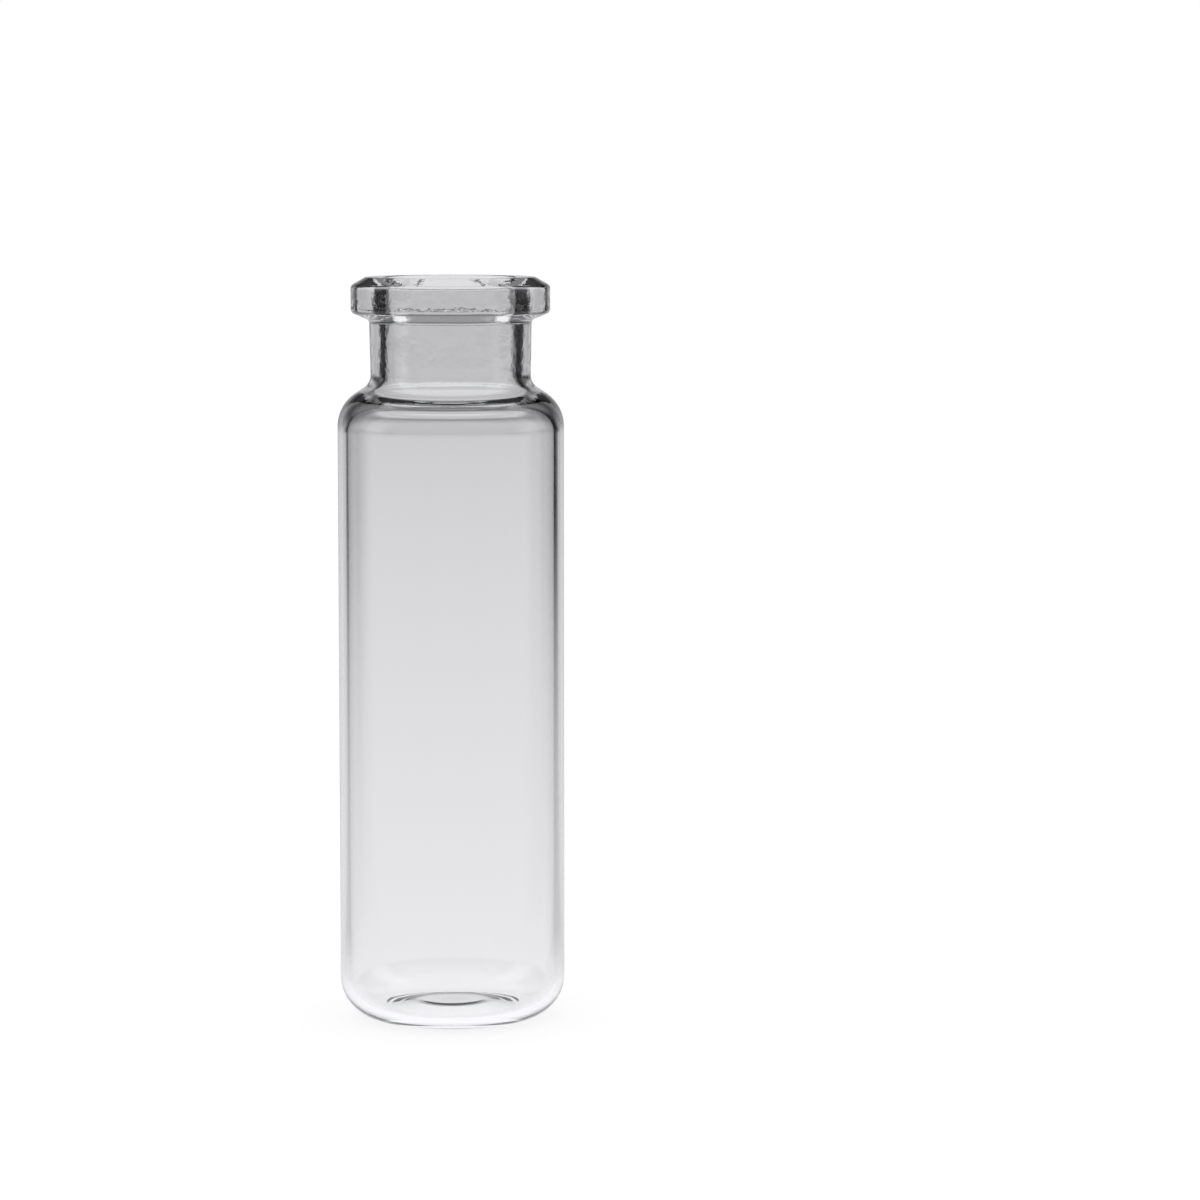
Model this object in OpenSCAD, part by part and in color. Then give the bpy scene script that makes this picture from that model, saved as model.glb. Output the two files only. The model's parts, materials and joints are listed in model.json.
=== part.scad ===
// Glass sample vial: a crimp-neck headspace vial of about 20 ml, formed from one length of glass tube.
// Units are millimetres. The origin is the centre of the base on the surface the vial stands on, +Z up.

/* [Body] */
// Outside diameter of the tube
body_od = 22.75; // [22:0.05:24]
// Overall height from the standing ring to the rim
height = 75; // [45:0.5:100]
// Thickness of the tube wall
wall = 1; // [0.8:0.05:1.3]

/* [Base] */
// Outside radius of the heel, where the wall turns under
heel_r = 4.2; // [3.4:0.1:4.8]
// Inside radius where the wall turns into the floor
floor_r = 3.15; // [2:0.05:3.8]
// Thickness of the base over the standing ring
base_t = 1.05; // [0.8:0.05:1.6]
// Width of the flat ring that the vial stands on, before its inner edge is rounded
foot_w = 0.33; // [0.3:0.01:1]
// Slope of the push-up under the base, from horizontal
push_up_slope = 16; // [12:0.5:19]
// Diameter of the push-up's flat top
push_up_top_d = 7.7; // [6:0.1:9]
// Radius that rounds the edge of the push-up's top
push_up_top_r = 4; // [1:0.5:6]
// Radius that rounds the foot of the push-up
push_up_foot_r = 1; // [0.5:0.1:2]
// Width of the flat ring round the floor, before its inner edge is rounded
floor_flat_w = 0.25; // [0.2:0.01:1]
// Slope of the floor where it rises over the push-up, from horizontal
floor_rise_slope = 10; // [7:0.5:14]
// Diameter of the flat top of the floor's rise
floor_top_d = 7.5; // [6:0.1:9]
// Radius that rounds the edge of that top
floor_top_r = 6; // [1:0.5:8]
// Radius that rounds the foot of the floor's rise
floor_foot_r = 1; // [0.5:0.1:2]

/* [Shoulder] */
// Outside radius where the wall turns in to the shoulder
shoulder_r = 4; // [2:0.1:4.5]
// Slope of the shoulder's outside, from horizontal
shoulder_slope = 33; // [25:1:45]
// Inside radius where the wall turns in to the shoulder
shoulder_in_r = 2.9; // [1:0.1:4]
// Slope of the shoulder's inside, from horizontal
shoulder_in_slope = 28; // [15:1:36]
// Depth of glass at the shoulder, from the foot of the neck down to the foot of the bore
shoulder_t = 0.9; // [0.6:0.05:1.8]
// Radius where the inside of the shoulder turns up into the bore
throat_r = 3.7; // [1:0.1:4.5]

/* [Neck] */
// Outside diameter of the neck at its foot
neck_od = 16.05; // [15.4:0.05:16.6]
// How much wider the neck is at its top
neck_flare = 0.25; // [0.05:0.05:0.5]
// Diameter of the bore
bore_d = 13; // [12.2:0.1:13.6]
// Height of the neck, from the shoulder to the flange
neck_h = 6.3; // [4:0.1:10]
// Fillet between the shoulder and the neck
neck_fillet = 1.5; // [0.8:0.1:2]

/* [Crimp flange] */
// Outside diameter of the flange that the cap is crimped under
flange_d = 20; // [19.4:0.05:20.4]
// Height of the flange at its edge, from its lower edge to the rim
flange_h = 3.55; // [3:0.05:4.2]
// Slope of the flange's underside, from horizontal
underside_slope = 23; // [12:1:30]
// Fillet between the neck and the flange's underside
underside_fillet = 0.5; // [0.2:0.05:0.8]
// Outside diameter of the flat rim
rim_d = 17; // [16.4:0.1:17.6]
// Slope of the bevel between the rim and the flange's edge, from horizontal
bevel_slope = 30; // [22:1:38]
// Rounding of the flange's edges
flange_edge_r = 0.5; // [0.1:0.05:0.6]
// Rounding of the fire-polished mouth
mouth_r = 0.8; // [0.4:0.05:1]

/* [Hidden] */
$fn = 96;
// How far a cutting shape reaches past what it cuts
over = 0.2;
// How far a rounding's circle stands past the sides of its corner, so that they cross and not just touch
bite = 0.0002;
// Most of a side's length that the roundings at its two ends may take
fill = 0.96;

// Radii from the axis
body_r = body_od / 2;
inner_r = body_r - wall;
neck_foot_r = neck_od / 2;
neck_top_r = neck_foot_r + neck_flare / 2;
bore_r = bore_d / 2;
flange_r = flange_d / 2;
rim_r = rim_d / 2;
push_up_r = body_r - heel_r - foot_w;
push_up_top_edge = push_up_top_d / 2;
floor_rise_edge = inner_r - floor_r - floor_flat_w;
floor_top_edge = floor_top_d / 2;

// Heights, worked from the rim down to the shoulder, then over the base
bevel_z = height - (flange_r - rim_r) * tan(bevel_slope);
flange_low_z = height - flange_h;
neck_top_z = flange_low_z - (flange_r - neck_top_r) * tan(underside_slope);
neck_foot_z = neck_top_z - neck_h;
shoulder_z = neck_foot_z - (body_r - neck_foot_r) * tan(shoulder_slope);
throat_z = neck_foot_z - shoulder_t;
ceiling_z = throat_z - (inner_r - bore_r) * tan(shoulder_in_slope);
push_up_z = (push_up_r - push_up_top_edge) * tan(push_up_slope);
floor_top_z = base_t + (floor_rise_edge - floor_top_edge) * tan(floor_rise_slope);

// One side of the glass in section, from the top of the push-up, up the outside, over the rim and
// down the inside to the top of the floor: each corner is [radius, height, rounding]
side_corners = [
    [push_up_top_edge, push_up_z, push_up_top_r],
    [push_up_r, 0, push_up_foot_r],
    [body_r, 0, heel_r],
    [body_r, shoulder_z, shoulder_r],
    [neck_foot_r, neck_foot_z, neck_fillet],
    [neck_top_r, neck_top_z, underside_fillet],
    [flange_r, flange_low_z, flange_edge_r],
    [flange_r, bevel_z, flange_edge_r],
    [rim_r, height, flange_edge_r],
    [bore_r, height, mouth_r],
    [bore_r, throat_z, throat_r],
    [inner_r, ceiling_z, shoulder_in_r],
    [inner_r, base_t, floor_r],
    [floor_rise_edge, base_t, floor_foot_r],
    [floor_top_edge, floor_top_z, floor_top_r],
];

// The whole section, with the other side mirrored
last_side = len(side_corners) - 1;
other_side = [for (i = [last_side:-1:0]) [-side_corners[i][0], side_corners[i][1], side_corners[i][2]]];
section_corners = concat(side_corners, other_side);

function unit(v) = v / norm(v);
function point(corner) = [corner[0], corner[1]];

// The corner and its two neighbours on a closed outline, as points
function bend(corners, i) = let (n = len(corners))
    [for (step = [n - 1, 0, 1]) point(corners[(i + step) % n])];

// An outside corner is one where a path that keeps the glass on its left turns left
function is_outside(bend) = cross(bend[1] - bend[0], bend[2] - bend[1]) > 0;

// Cosine of the angle between a corner's two sides
function side_cosine(bend) = unit(bend[0] - bend[1]) * unit(bend[2] - bend[1]);

// How far a corner's rounding reaches along each of its sides
function setback(bend, radius) = let (c = side_cosine(bend)) radius * sqrt((1 + c) / (1 - c));

// How much of the roundings at its two ends a side has room for
function side_share(bends, radii, i) = let (next = (i + 1) % len(bends))
    let (length = norm(bends[next][1] - bends[i][1]))
    fill * length / (setback(bends[i], radii[i]) + setback(bends[next], radii[next]));

// A corner's rounding, made smaller where one of its sides is too short for it
function fitted_radius(bends, radii, i) = let (before = (i + len(bends) - 1) % len(bends))
    radii[i] * min(1, side_share(bends, radii, before), side_share(bends, radii, i));

// The two points on a corner's sides where its rounding leaves them, or a little past those
function tangent_points(bend, radius, past = 0) =
    [for (end = [bend[0], bend[2]]) bend[1] + unit(end - bend[1]) * (setback(bend, radius) + past)];

// Centre of the circle that rounds a corner
function round_centre(bend, radius) =
    let (inward = unit(unit(bend[0] - bend[1]) + unit(bend[2] - bend[1])))
    bend[1] + inward * radius / sqrt((1 - side_cosine(bend)) / 2);

// The patch of the section that a corner's rounding may change
module corner_patch(bend, radius, past) {
    centre = round_centre(bend, radius);
    ends = tangent_points(bend, radius, past);
    reach = (radius + over) / radius;
    polygon([centre, for (p = [ends[0], bend[1], ends[1]]) centre + (p - centre) * reach]);
}

// Cuts an inside corner's fillet out of the straight chord that fills the corner
module inside_round(bend, radius) {
    intersection() {
        corner_patch(bend, radius, over);
        translate(round_centre(bend, radius)) circle(radius + bite);
    }
}

// Cuts away what lies between an outside corner and its rounding
module outside_round(bend, radius) {
    difference() {
        corner_patch(bend, radius, 0);
        translate(round_centre(bend, radius)) circle(radius + bite);
    }
}

// A closed outline whose corners are rounded by true arcs
module rounded_outline(corners) {
    indices = [for (i = [0:len(corners) - 1]) i];
    bends = [for (i = indices) bend(corners, i)];
    wanted = [for (corner = corners) corner[2]];
    radii = [for (i = indices) fitted_radius(bends, wanted, i)];
    difference() {
        polygon([for (i = indices)
            each is_outside(bends[i]) ? [bends[i][1]] : tangent_points(bends[i], radii[i])]);
        for (i = indices) {
            if (is_outside(bends[i])) outside_round(bends[i], radii[i]);
            else inside_round(bends[i], radii[i]);
        }
    }
}

module glass_vial() {
    color("#e4e8ea", 0.35)
        rotate_extrude()
            intersection() {
                rounded_outline(section_corners);
                translate([0, -over]) square([body_r + over, height + 2 * over]);
            }
}

glass_vial();
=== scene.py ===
# An open glass sample vial, standing by itself on a pale table.
# It is one piece of clear glass, so one section makes it; the table, studio and camera come after it.
import json
import math

import bpy
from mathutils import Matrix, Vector


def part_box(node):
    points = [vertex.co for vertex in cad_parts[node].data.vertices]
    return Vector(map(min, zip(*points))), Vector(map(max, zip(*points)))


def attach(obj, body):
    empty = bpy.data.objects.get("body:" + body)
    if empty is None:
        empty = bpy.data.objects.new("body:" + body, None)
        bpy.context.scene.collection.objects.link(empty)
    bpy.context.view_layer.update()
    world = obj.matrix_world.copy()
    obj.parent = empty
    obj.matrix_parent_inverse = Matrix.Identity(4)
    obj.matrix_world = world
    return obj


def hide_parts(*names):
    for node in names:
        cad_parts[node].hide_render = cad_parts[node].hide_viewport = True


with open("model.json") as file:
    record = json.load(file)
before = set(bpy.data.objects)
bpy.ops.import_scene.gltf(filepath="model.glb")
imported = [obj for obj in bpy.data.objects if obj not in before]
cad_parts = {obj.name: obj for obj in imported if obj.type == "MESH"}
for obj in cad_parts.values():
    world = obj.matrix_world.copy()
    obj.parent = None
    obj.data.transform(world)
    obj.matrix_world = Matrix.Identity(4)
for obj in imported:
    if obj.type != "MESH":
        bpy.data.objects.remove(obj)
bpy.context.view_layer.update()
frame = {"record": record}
scene = bpy.context.scene
scene.view_settings.view_transform = "Standard"


# The vial
# One length of drawn borosilicate tube, turned in a flame: the base is closed and pushed up, and the
# shoulder, neck and crimp flange are rolled to shape, which leaves the neck and flange a little uneven.

MM = 0.001
mounts = {mount["name"]: mount["dims"] for mount in frame["record"]["mounts"]}

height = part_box("glass_vial")[1].z
body_r = mounts["body"]["r_mm"] * MM
bore_r = mounts["mouth"]["r_mm"] * MM
flange_r = mounts["crimp_flange"]["r_mm"] * MM
inner_r = body_r - 1.0 * MM
heel_round = 4.2 * MM
floor_round = 3.15 * MM
base_thickness = 1.05 * MM
foot_width = 0.33 * MM
push_up_slope = math.radians(16)
push_up_top_r = 7.7 / 2 * MM
push_up_top_round = 4.0 * MM
push_up_foot_round = 1.0 * MM
floor_flat_width = 0.25 * MM
floor_rise_slope = math.radians(10)
floor_top_r = 7.5 / 2 * MM
floor_top_round = 6.0 * MM
floor_foot_round = 1.0 * MM
shoulder_slope = math.radians(33)
shoulder_round = 4.0 * MM
shoulder_in_slope = math.radians(28)
shoulder_in_round = 2.9 * MM
shoulder_thickness = 0.9 * MM
throat_round = 3.7 * MM
neck_foot_r = 16.05 / 2 * MM
neck_top_r = 16.30 / 2 * MM
neck_height = 6.3 * MM
neck_fillet = 1.5 * MM
flange_height = 3.55 * MM
underside_slope = math.radians(23)
underside_fillet = 0.5 * MM
rim_r = 17.0 / 2 * MM
bevel_slope = math.radians(30)
flange_edge_round = 0.5 * MM
mouth_round = 0.8 * MM

push_up_r = body_r - heel_round - foot_width
push_up_z = (push_up_r - push_up_top_r) * math.tan(push_up_slope)
floor_rise_r = inner_r - floor_round - floor_flat_width
floor_top_z = base_thickness + (floor_rise_r - floor_top_r) * math.tan(floor_rise_slope)
bevel_z = height - (flange_r - rim_r) * math.tan(bevel_slope)
flange_low_z = height - flange_height
neck_top_z = flange_low_z - (flange_r - neck_top_r) * math.tan(underside_slope)
neck_foot_z = neck_top_z - neck_height
shoulder_z = neck_foot_z - (body_r - neck_foot_r) * math.tan(shoulder_slope)
throat_z = neck_foot_z - shoulder_thickness
ceiling_z = throat_z - (inner_r - bore_r) * math.tan(shoulder_in_slope)

# Corners of the glass in section, as (radius, height, rounding)
section = [
    (0, push_up_z, 0),
    (push_up_top_r, push_up_z, push_up_top_round),
    (push_up_r, 0, push_up_foot_round),
    (body_r, 0, heel_round),
    (body_r, shoulder_z, shoulder_round),
    (neck_foot_r, neck_foot_z, neck_fillet),
    (neck_top_r, neck_top_z, underside_fillet),
    (flange_r, flange_low_z, flange_edge_round),
    (flange_r, bevel_z, flange_edge_round),
    (rim_r, height, flange_edge_round),
    (bore_r, height, mouth_round),
    (bore_r, throat_z, throat_round),
    (inner_r, ceiling_z, shoulder_in_round),
    (inner_r, base_thickness, floor_round),
    (floor_rise_r, base_thickness, floor_foot_round),
    (floor_top_r, floor_top_z, floor_top_round),
    (0, floor_top_z, 0),
]


def with_guards(corners, guard):
    """Adds a plain corner just past each end of a rounding where there is room, so its shading ends there."""
    points = [Vector(corner[:2]) for corner in corners]
    setbacks = [0.0] * len(points)
    for i in range(1, len(points) - 1):
        turn = (points[i] - points[i - 1]).angle(points[i + 1] - points[i])
        setbacks[i] = corners[i][2] * math.tan(turn / 2)
    guarded = [corners[0]]
    for i in range(1, len(points)):
        start, end = points[i - 1], points[i]
        along = (end - start).normalized()
        if (end - start).length > setbacks[i - 1] + setbacks[i] + 4 * guard:
            guarded.append((*(start + along * (setbacks[i - 1] + guard)), 0))
            guarded.append((*(end - along * (setbacks[i] + guard)), 0))
        guarded.append(corners[i])
    return guarded


def add_node(tree, kind, inputs=None, **settings):
    """Adds a node with its settings, and sets or links its inputs."""
    made = tree.nodes.new(kind)
    for name, value in settings.items():
        setattr(made, name, value)
    for socket, value in (inputs or {}).items():
        if isinstance(value, bpy.types.NodeSocket):
            tree.links.new(value, made.inputs[socket])
        else:
            made.inputs[socket].default_value = value
    return made


def linear(hex_colour):
    """An sRGB hex colour as linear RGBA."""
    parts = [int(hex_colour[i:i + 2], 16) / 255 for i in (1, 3, 5)]
    return [p / 12.92 if p <= 0.04045 else ((p + 0.055) / 1.055) ** 2.4 for p in parts] + [1.0]


# Clear neutral borosilicate glass, drawn and fire-polished: colourless, with sharp edges of light and dark,
# faint upright drawing lines on the body, and a finer ripple where the neck and flange were rolled.
glass = bpy.data.materials.new("drawn_borosilicate_glass")
glass.use_nodes = True
nodes = glass.node_tree
shader = nodes.nodes["Principled BSDF"]
shader.inputs["Base Color"].default_value = linear("#fdfdfd")
shader.inputs["Transmission Weight"].default_value = 1.0
shader.inputs["IOR"].default_value = 1.49
drawing_line_width = 0.9 * MM
drawing_line_depth = 0.001 * MM
ripple_width = 0.6 * MM
ripple_depth = 0.014 * MM
smear_width = 5.0 * MM
smear_roughness = 0.05
rolled_below = 1.5 * MM
rolled_above = 1.0 * MM
place = add_node(nodes, "ShaderNodeTexCoord").outputs["Object"]
across = add_node(nodes, "ShaderNodeVectorMath", {0: place, 1: (1.0, 1.0, 0.0)}, operation="MULTIPLY")
round_axis = add_node(nodes, "ShaderNodeVectorMath", {0: across.outputs[0]}, operation="NORMALIZE")
drawing_lines = add_node(nodes, "ShaderNodeTexNoise", {
    "Vector": round_axis.outputs[0], "Scale": body_r / drawing_line_width, "Detail": 1.0},
    noise_dimensions="2D")
drawn = add_node(nodes, "ShaderNodeBump", {
    "Height": drawing_lines.outputs[0], "Distance": drawing_line_depth})
place_height = add_node(nodes, "ShaderNodeSeparateXYZ", {0: place}).outputs["Z"]
rolled = add_node(nodes, "ShaderNodeMapRange", {
    "Value": place_height, "From Min": neck_foot_z - rolled_below, "From Max": neck_foot_z + rolled_above})
ripple = add_node(nodes, "ShaderNodeTexNoise", {"Vector": place, "Scale": 1 / ripple_width, "Detail": 2.0})
ripple_there = add_node(nodes, "ShaderNodeMath", {
    0: ripple.outputs[0], 1: rolled.outputs[0]}, operation="MULTIPLY")
rippled = add_node(nodes, "ShaderNodeBump", {
    "Height": ripple_there.outputs[0], "Distance": ripple_depth, "Normal": drawn.outputs[0]})
nodes.links.new(rippled.outputs[0], shader.inputs["Normal"])
smears = add_node(nodes, "ShaderNodeTexNoise", {"Vector": place, "Scale": 1 / smear_width, "Detail": 1.0})
roughness = add_node(nodes, "ShaderNodeMapRange", {
    "Value": smears.outputs[0], "From Min": 0.6, "From Max": 0.8,
    "To Min": 0.0, "To Max": smear_roughness})
nodes.links.new(roughness.outputs[0], shader.inputs["Roughness"])

# Lathe tree
lathe = bpy.data.node_groups.new("vial_lathe", "GeometryNodeTree")
lathe.is_modifier = True
lathe.interface.new_socket("Geometry", in_out="INPUT", socket_type="NodeSocketGeometry")
lathe.interface.new_socket("Geometry", in_out="OUTPUT", socket_type="NodeSocketGeometry")
inputs = {}
for name, kind, value in (
    ("Ring radius", "NodeSocketFloat", body_r),
    ("Steps round", "NodeSocketInt", 240),
    ("Steps per rounding", "NodeSocketInt", 12),
    ("Longest body step", "NodeSocketFloat", 2 * MM),
    ("Longest neck step", "NodeSocketFloat", 0.3 * MM),
    ("Neck foot height", "NodeSocketFloat", neck_foot_z),
    ("Tool mark depth", "NodeSocketFloat", 0.012 * MM),
    ("Tool mark width", "NodeSocketFloat", 3.0 * MM),
    ("Tool mark height", "NodeSocketFloat", 1.4 * MM),
    ("Seed", "NodeSocketFloat", 4.0),
    ("Glass", "NodeSocketMaterial", glass),
):
    socket = lathe.interface.new_socket(name, in_out="INPUT", socket_type=kind)
    inputs[name] = (socket.identifier, value)
start = add_node(lathe, "NodeGroupInput").outputs
outline = add_node(lathe, "GeometryNodeMeshToCurve", {"Mesh": start["Geometry"]})
rounding = add_node(lathe, "GeometryNodeInputNamedAttribute", {"Name": "rounding"}, data_type="FLOAT")
rounded = add_node(lathe, "GeometryNodeFilletCurve", {
    "Curve": outline.outputs["Curve"], "Count": start["Steps per rounding"],
    "Radius": rounding.outputs["Attribute"]}, mode="POLY")
position = add_node(lathe, "GeometryNodeInputPosition").outputs[0]
here = add_node(lathe, "GeometryNodeInputIndex").outputs[0]
next_index = add_node(lathe, "ShaderNodeMath", {0: here, 1: 1.0}, operation="ADD")
next_point = add_node(lathe, "GeometryNodeFieldAtIndex", {
    "Value": position, "Index": next_index.outputs[0]}, data_type="FLOAT_VECTOR", domain="POINT")
gap = add_node(lathe, "ShaderNodeVectorMath", {0: position, 1: next_point.outputs[0]}, operation="DISTANCE")
outline_axes = add_node(lathe, "ShaderNodeSeparateXYZ", {0: position}).outputs
outline_height = add_node(lathe, "ShaderNodeMath", {0: outline_axes["Y"], 1: -1.0}, operation="MULTIPLY")
in_neck = add_node(lathe, "ShaderNodeMath", {
    0: outline_height.outputs[0], 1: start["Neck foot height"]}, operation="GREATER_THAN")
step = add_node(lathe, "ShaderNodeMix", {
    "Factor": in_neck.outputs[0], "A": start["Longest body step"],
    "B": start["Longest neck step"]}, data_type="FLOAT")
cuts = add_node(lathe, "ShaderNodeMath", {0: gap.outputs["Value"], 1: step.outputs[0]}, operation="DIVIDE")
stepped = add_node(lathe, "GeometryNodeSubdivideCurve", {
    "Curve": rounded.outputs["Curve"], "Cuts": cuts.outputs[0]})
circle = add_node(lathe, "GeometryNodeCurvePrimitiveCircle", {
    "Resolution": start["Steps round"], "Radius": start["Ring radius"]}, mode="RADIUS")
swept = add_node(lathe, "GeometryNodeCurveToMesh", {
    "Curve": circle.outputs["Curve"], "Profile Curve": stepped.outputs["Curve"]})
joined = add_node(lathe, "GeometryNodeMergeByDistance", {"Geometry": swept.outputs["Mesh"], "Distance": 1e-6})
outward = add_node(lathe, "GeometryNodeFlipFaces", {"Mesh": joined.outputs["Geometry"]})

# Marks that the rolling tools leave on the neck and flange
mark_size = add_node(lathe, "ShaderNodeCombineXYZ", {
    "X": start["Tool mark width"], "Y": start["Tool mark width"], "Z": start["Tool mark height"]})
mark_place = add_node(lathe, "ShaderNodeVectorMath", {
    0: position, 1: mark_size.outputs[0]}, operation="DIVIDE")
marks = add_node(lathe, "ShaderNodeTexNoise", {
    "Vector": mark_place.outputs[0], "W": start["Seed"], "Scale": 1.0, "Detail": 1.0}, noise_dimensions="4D")
axes = add_node(lathe, "ShaderNodeSeparateXYZ", {0: position}).outputs
above_foot = add_node(lathe, "ShaderNodeMath", {
    0: axes["Z"], 1: start["Neck foot height"]}, operation="SUBTRACT")
worked = add_node(lathe, "ShaderNodeMapRange", {
    "Value": above_foot.outputs[0], "From Min": -rolled_below, "From Max": rolled_above},
    interpolation_type="SMOOTHSTEP")
mark = add_node(lathe, "ShaderNodeMapRange", {
    "Value": marks.outputs[0], "From Min": 0.25, "From Max": 0.75,
    "To Min": -1.0, "To Max": 1.0}, clamp=False)
mark_depth = add_node(lathe, "ShaderNodeMath", {
    0: mark.outputs[0], 1: start["Tool mark depth"]}, operation="MULTIPLY")
mark_there = add_node(lathe, "ShaderNodeMath", {
    0: mark_depth.outputs[0], 1: worked.outputs[0]}, operation="MULTIPLY")
normal = add_node(lathe, "GeometryNodeInputNormal").outputs[0]
shift = add_node(lathe, "ShaderNodeVectorMath", {
    0: normal, "Scale": mark_there.outputs[0]}, operation="SCALE")
uneven = add_node(lathe, "GeometryNodeSetPosition", {
    "Geometry": outward.outputs["Mesh"], "Offset": shift.outputs[0]})
smooth = add_node(lathe, "GeometryNodeSetShadeSmooth", {"Geometry": uneven.outputs["Geometry"]})
solid = add_node(lathe, "GeometryNodeRealizeInstances", {"Geometry": smooth.outputs["Geometry"]})
coated = add_node(lathe, "GeometryNodeSetMaterial", {
    "Geometry": solid.outputs["Geometry"], "Material": start["Glass"]})
add_node(lathe, "NodeGroupOutput", {"Geometry": coated.outputs["Geometry"]})

guard_distance = 0.25 * MM
corners = with_guards(section, guard_distance)
outline_mesh = bpy.data.meshes.new("vial_section")
outline_mesh.from_pydata(
    [(r - body_r, -z, 0) for r, z, _ in corners], [(i, i + 1) for i in range(len(corners) - 1)], [])
rounding_values = outline_mesh.attributes.new("rounding", "FLOAT", "POINT")
rounding_values.data.foreach_set("value", [corner[2] for corner in corners])
maker = bpy.data.objects.new("vial_lathe", outline_mesh)
scene.collection.objects.link(maker)
modifier = maker.modifiers.new("Lathe", "NODES")
modifier.node_group = lathe
for identifier, value in inputs.values():
    modifier[identifier] = value
evaluated = maker.evaluated_get(bpy.context.evaluated_depsgraph_get())
vial = bpy.data.objects.new("vial", bpy.data.meshes.new_from_object(evaluated))
bpy.data.objects.remove(maker)
scene.collection.objects.link(vial)
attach(vial, "root")
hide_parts("glass_vial")


# The table
# A wide sheet of pale matt acrylic, which the vial stands on. To the camera it is white. In the glass it
# shows a painted pool of light, brightest where the vial stands, and patches of painted shade, as the studio
# does.
table_size = 6.0
table_z = -0.02 * MM
cool_white = "#fcfcff"
studio_turn = math.radians(3)
glow_to_camera = 0.85
matt_to_camera = 0.18
# A pool of light painted on the table, seen only in the glass: brightest at the vial, fading outwards with
# the square root of the distance, and with extra painted light close round the foot.
pool_middle_light = 0.92
pool_edge_light = 0.54
pool_edge_root = 1.35
near_light = 0.14
near_start = 6.0 * MM
near_end = 30.0 * MM
table_mesh = bpy.data.meshes.new("table")
half = table_size / 2
table_mesh.from_pydata(
    [(-half, -half, table_z), (half, -half, table_z), (half, half, table_z), (-half, half, table_z)],
    [], [(0, 1, 2, 3)])
table = bpy.data.objects.new("table", table_mesh)
scene.collection.objects.link(table)
acrylic = bpy.data.materials.new("pale_acrylic_painted_light")
acrylic.use_nodes = True
nodes = acrylic.node_tree
nodes.nodes.clear()
path = add_node(nodes, "ShaderNodeLightPath").outputs
place = add_node(nodes, "ShaderNodeTexCoord").outputs["Object"]
place_axes = add_node(nodes, "ShaderNodeSeparateXYZ", {0: place}).outputs
far = add_node(nodes, "ShaderNodeVectorMath", {0: place}, operation="LENGTH")
root_far = add_node(nodes, "ShaderNodeMath", {0: far.outputs["Value"]}, operation="SQRT")
wide_pool = add_node(nodes, "ShaderNodeMapRange", {
    "Value": root_far.outputs[0], "From Min": 0.0, "From Max": pool_edge_root,
    "To Min": pool_middle_light, "To Max": pool_edge_light})
near_pool = add_node(nodes, "ShaderNodeMapRange", {
    "Value": far.outputs["Value"], "From Min": near_start, "From Max": near_end,
    "To Min": near_light, "To Max": 0.0})
painted_pool = add_node(nodes, "ShaderNodeMath", {
    0: wide_pool.outputs[0], 1: near_pool.outputs[0]}, operation="ADD")
turn = add_node(nodes, "ShaderNodeMath", {0: place_axes["X"], 1: place_axes["Y"]}, operation="ARCTAN2")
turned = add_node(nodes, "ShaderNodeMath", {0: turn.outputs[0], 1: studio_turn}, operation="ADD")
aside = add_node(nodes, "ShaderNodeMath", {0: turned.outputs[0]}, operation="ABSOLUTE")
# Two parts of the table carry painted shade, seen only in the glass: one behind the vial at each side, and
# one far out beside it. Each row is what is measured, where its ramp starts and ends, in radians or metres,
# and the shade at those places.
shown = painted_pool
for ramps in (
    (
        (aside, math.radians(30), math.radians(40), 0.0, 1.0),
        (aside, math.radians(68), math.radians(78), 1.0, 0.0),
        (far, 0.02, 0.06, 0.0, 1.0),
        (far, 0.0, 0.7, 0.28, 1.0),
    ),
    (
        (aside, math.radians(68), math.radians(78), 0.0, 1.0),
        (aside, math.radians(106), math.radians(122), 1.0, 0.0),
        (far, 1.0, 1.8, 0.0, 1.0),
    ),
):
    painted_shade = None
    for source, ramp_start, ramp_end, to_min, to_max in ramps:
        ramp = add_node(nodes, "ShaderNodeMapRange", {
            "Value": source.outputs["Value"], "From Min": ramp_start, "From Max": ramp_end,
            "To Min": to_min, "To Max": to_max}, interpolation_type="SMOOTHSTEP")
        painted_shade = ramp if painted_shade is None else add_node(
            nodes, "ShaderNodeMath", {0: painted_shade.outputs[0], 1: ramp.outputs[0]}, operation="MULTIPLY")
    unshaded = add_node(nodes, "ShaderNodeMath", {0: 1.0, 1: painted_shade.outputs[0]}, operation="SUBTRACT")
    shown = add_node(nodes, "ShaderNodeMath", {
        0: shown.outputs[0], 1: unshaded.outputs[0]}, operation="MULTIPLY")
# Glass rays see the painted pool of light and painted shade; the camera sees a plain white glow, with the
# matt part's real shadow.
in_glass = add_node(nodes, "ShaderNodeMath", {
    0: path["Is Glossy Ray"], 1: path["Is Transmission Ray"]}, operation="MAXIMUM")
seen = add_node(nodes, "ShaderNodeMix", {
    "Factor": in_glass.outputs[0], "A": glow_to_camera, "B": shown.outputs[0]}, data_type="FLOAT")
tint = add_node(nodes, "ShaderNodeMix", {
    "Factor": in_glass.outputs[0], 6: linear("#ffffff"), 7: linear(cool_white)}, data_type="RGBA")
glow = add_node(nodes, "ShaderNodeEmission", {"Color": tint.outputs[2], "Strength": seen.outputs[0]})
matt = add_node(nodes, "ShaderNodeMath", {
    0: path["Is Camera Ray"], 1: matt_to_camera}, operation="MULTIPLY")
lit = add_node(nodes, "ShaderNodeBsdfDiffuse", {"Color": matt.outputs[0]})
surface = add_node(nodes, "ShaderNodeAddShader", {0: lit.outputs[0], 1: glow.outputs[0]})
add_node(nodes, "ShaderNodeOutputMaterial", {"Surface": surface.outputs[0]})
table_mesh.materials.append(acrylic)

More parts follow.
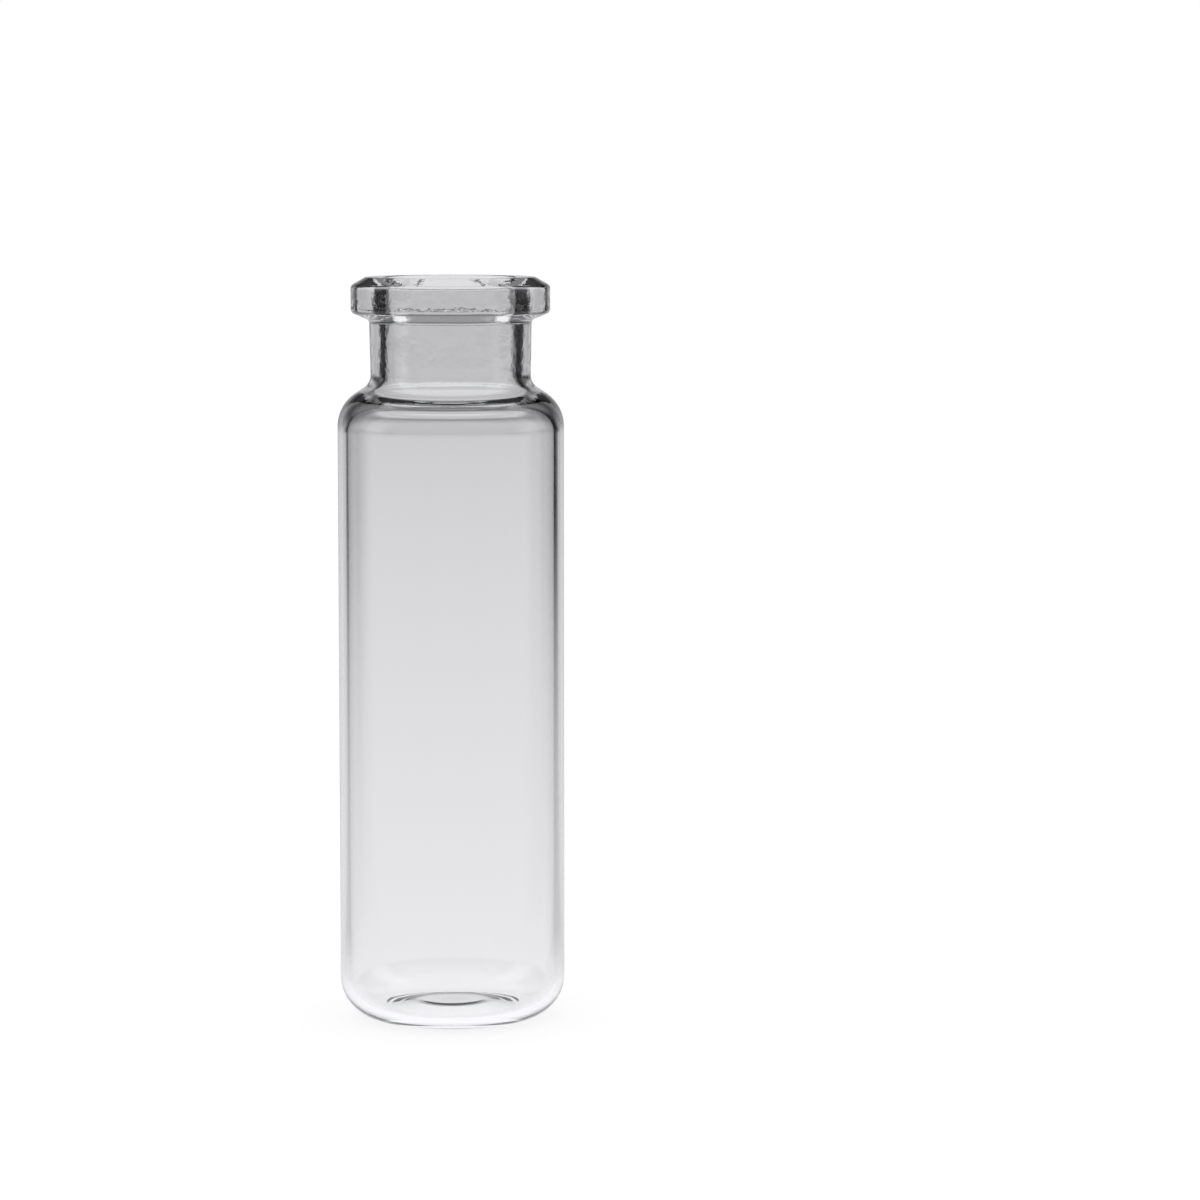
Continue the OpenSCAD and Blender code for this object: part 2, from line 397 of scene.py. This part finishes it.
# The studio
# A pale backdrop behind the vial with dimmer light over it, a tall soft box at each side, and softer light
# from above and from the front, in a dark room.
world = bpy.data.worlds.new("studio")
scene.world = world
world.use_nodes = True
nodes = world.node_tree
nodes.nodes.clear()
path = add_node(nodes, "ShaderNodeLightPath").outputs
way = add_node(nodes, "ShaderNodeTexCoord").outputs["Generated"]
axes = add_node(nodes, "ShaderNodeSeparateXYZ", {0: way}).outputs
turn = add_node(nodes, "ShaderNodeMath", {0: axes["X"], 1: axes["Y"]}, operation="ARCTAN2")
turned = add_node(nodes, "ShaderNodeMath", {0: turn.outputs[0], 1: studio_turn}, operation="ADD")
aside = add_node(nodes, "ShaderNodeMath", {0: turned.outputs[0]}, operation="ABSOLUTE")
rise = add_node(nodes, "ShaderNodeMath", {0: axes["Z"]}, operation="ARCSINE")
# Brightness, and where each light fades in and out, in degrees round from behind and up from the table
lights = (
    (0.56, (-2, -1), (24, 38), (-91, -90), (8, 21)),
    (0.22, (-2, -1), (25, 40), (12, 30), (65, 85)),
    (1.00, (68, 78), (96, 110), (-91, -90), (48, 62)),
    (0.45, (20, 40), (190, 191), (38, 52), (65, 85)),
    (0.30, (100, 120), (190, 191), (-91, -90), (30, 50)),
)
room_light = 0.008
studio = add_node(nodes, "ShaderNodeValue")
studio.outputs[0].default_value = room_light
for brightness, *edges in lights:
    light = None
    for source, (first, last), to_max in zip((aside, aside, rise, rise), edges, (1.0, 0.0, 1.0, 0.0)):
        edge = add_node(nodes, "ShaderNodeMapRange", {
            "Value": source.outputs[0], "From Min": math.radians(first), "From Max": math.radians(last),
            "To Min": 1.0 - to_max, "To Max": to_max}, interpolation_type="SMOOTHSTEP")
        light = add_node(nodes, "ShaderNodeMath", {
            0: brightness if light is None else light.outputs[0], 1: edge.outputs[0]}, operation="MULTIPLY")
    studio = add_node(nodes, "ShaderNodeMath", {0: studio.outputs[0], 1: light.outputs[0]}, operation="ADD")
in_glass = add_node(nodes, "ShaderNodeMath", {
    0: path["Is Glossy Ray"], 1: path["Is Transmission Ray"]}, operation="MAXIMUM")
shown = add_node(nodes, "ShaderNodeMix", {
    "Factor": in_glass.outputs[0], "A": 1.0, "B": studio.outputs[0]}, data_type="FLOAT")
tint = add_node(nodes, "ShaderNodeMix", {
    "Factor": in_glass.outputs[0], 6: linear("#ffffff"), 7: linear(cool_white)}, data_type="RGBA")
back = add_node(nodes, "ShaderNodeBackground", {"Color": tint.outputs[2], "Strength": shown.outputs[0]})
add_node(nodes, "ShaderNodeOutputWorld", {"Surface": back.outputs[0]})

# The camera
# A little above the rim. How open the ellipse of the base looks gives its distance.
camera_data = bpy.data.cameras.new("camera")
camera = bpy.data.objects.new("camera", camera_data)
scene.collection.objects.link(camera)
scene.camera = camera
picture_width = 1200
focal_pixels = 4266
camera_data.sensor_width = 36
camera_data.lens = focal_pixels / picture_width * camera_data.sensor_width
camera_data.clip_start = 0.01
camera_distance = 428.6 * MM
camera_height = 85.7 * MM
camera.location = (0, -camera_distance, camera_height)
target = Vector((15.0 * MM, 0, 42.4 * MM))
camera.rotation_euler = (target - camera.location).to_track_quat("-Z", "Y").to_euler()
